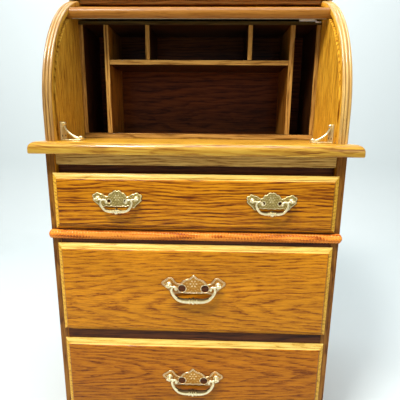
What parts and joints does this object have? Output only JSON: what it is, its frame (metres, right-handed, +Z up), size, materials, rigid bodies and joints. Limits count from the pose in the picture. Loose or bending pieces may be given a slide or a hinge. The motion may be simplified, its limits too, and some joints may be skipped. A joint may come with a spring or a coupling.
{
  "type": "roll top desk",
  "caption": "Narrow oak roll top desk with a pigeonhole unit under a sliding tambour, overhanging writing surface, drawers below and brass bail pulls.",
  "frame": {"origin": "centre of the bounding box's floor rectangle, on the floor", "axes": "+Z up, front of the desk towards -Y, +X to the right of someone who faces it"},
  "size_m": [0.64, 0.5354, 1.0624],
  "materials": {
    "oak": "glossy golden brown lacquer over open oak grain",
    "dark_oak": "satin, darker brown stain",
    "rope_oak": "satin reddish orange stain",
    "plywood": "plain sanded wood",
    "brass": "antique brass, dark in the recesses, worn bright on the high spots",
    "canvas": "plain woven canvas"
  },
  "bodies": {
    "root": {"apron_strip": "oak", "back_panel": "plywood", "case_bottom": "oak", "corner_brace_left": "brass", "corner_brace_right": "brass", "frame_lower": "dark_oak", "frame_middle": "dark_oak", "frame_top": "dark_oak", "lower_side_left": "oak", "lower_side_right": "oak", "pigeonhole_back": "dark_oak", "pigeonhole_divider_left": "dark_oak", "pigeonhole_divider_right": "dark_oak", "pigeonhole_end_left": "dark_oak", "pigeonhole_end_right": "dark_oak", "pigeonhole_floor": "dark_oak", "pigeonhole_partition_left": "dark_oak", "pigeonhole_partition_right": "dark_oak", "pigeonhole_shelf": "dark_oak", "pigeonhole_top": "dark_oak", "plinth_front": "oak", "rope_moulding": "rope_oak", "top_board": "oak", "top_rail": "oak", "upper_side_left": "oak", "upper_side_right": "oak", "writing_surface": "oak"},
    "bail_bottom": {"bail_bottom": "brass"},
    "bail_middle": {"bail_middle": "brass"},
    "bail_top_left": {"bail_top_left": "brass"},
    "bail_top_right": {"bail_top_right": "brass"},
    "drawer_bottom": {"drawer_bottom_bottom": "plywood", "drawer_bottom_box": "plywood", "drawer_bottom_front": "oak", "pull_plate_bottom": "brass"},
    "drawer_middle": {"drawer_middle_bottom": "plywood", "drawer_middle_box": "plywood", "drawer_middle_front": "oak", "pull_plate_middle": "brass"},
    "drawer_top": {"drawer_top_bottom": "plywood", "drawer_top_box": "plywood", "drawer_top_front": "oak", "pull_plate_top_left": "brass", "pull_plate_top_right": "brass"},
    "tambour": {"lift_bar": "oak", "tambour_canvas": "canvas", "tambour_slat_01": "oak", "tambour_slat_02": "oak", "tambour_slat_03": "oak", "tambour_slat_04": "oak", "tambour_slat_05": "oak", "tambour_slat_06": "oak", "tambour_slat_07": "oak", "tambour_slat_08": "oak", "tambour_slat_09": "oak", "tambour_slat_10": "oak", "tambour_slat_11": "oak", "tambour_slat_12": "oak", "tambour_slat_13": "oak", "tambour_slat_14": "oak"}
  },
  "joints": [
    {"name": "tambour_roll", "type": "hinge", "parent": "root", "child": "tambour", "pos_m": [0, 0.03167, 0.791], "axis": [1, 0, 0], "range_deg": [0, 66.5]},
    {"name": "drawer_top_slide", "type": "slide", "parent": "root", "child": "drawer_top", "axis": [0, -1, 0], "range_m": [0, 0.33]},
    {"name": "drawer_middle_slide", "type": "slide", "parent": "root", "child": "drawer_middle", "axis": [0, -1, 0], "range_m": [0, 0.33]},
    {"name": "drawer_bottom_slide", "type": "slide", "parent": "root", "child": "drawer_bottom", "axis": [0, -1, 0], "range_m": [0, 0.33]},
    {"name": "bail_top_left_swing", "type": "hinge", "parent": "drawer_top", "child": "bail_top_left", "pos_m": [-0.152, -0.26013, 0.62541], "axis": [-1, 0, 0], "range_deg": [0, 85]},
    {"name": "bail_top_right_swing", "type": "hinge", "parent": "drawer_top", "child": "bail_top_right", "pos_m": [0.152, -0.26013, 0.62541], "axis": [-1, 0, 0], "range_deg": [0, 85]},
    {"name": "bail_middle_swing", "type": "hinge", "parent": "drawer_middle", "child": "bail_middle", "pos_m": [0, -0.26013, 0.44415], "axis": [-1, 0, 0], "range_deg": [0, 85]},
    {"name": "bail_bottom_swing", "type": "hinge", "parent": "drawer_bottom", "child": "bail_bottom", "pos_m": [0, -0.26013, 0.22285], "axis": [-1, 0, 0], "range_deg": [0, 85]}
  ]
}
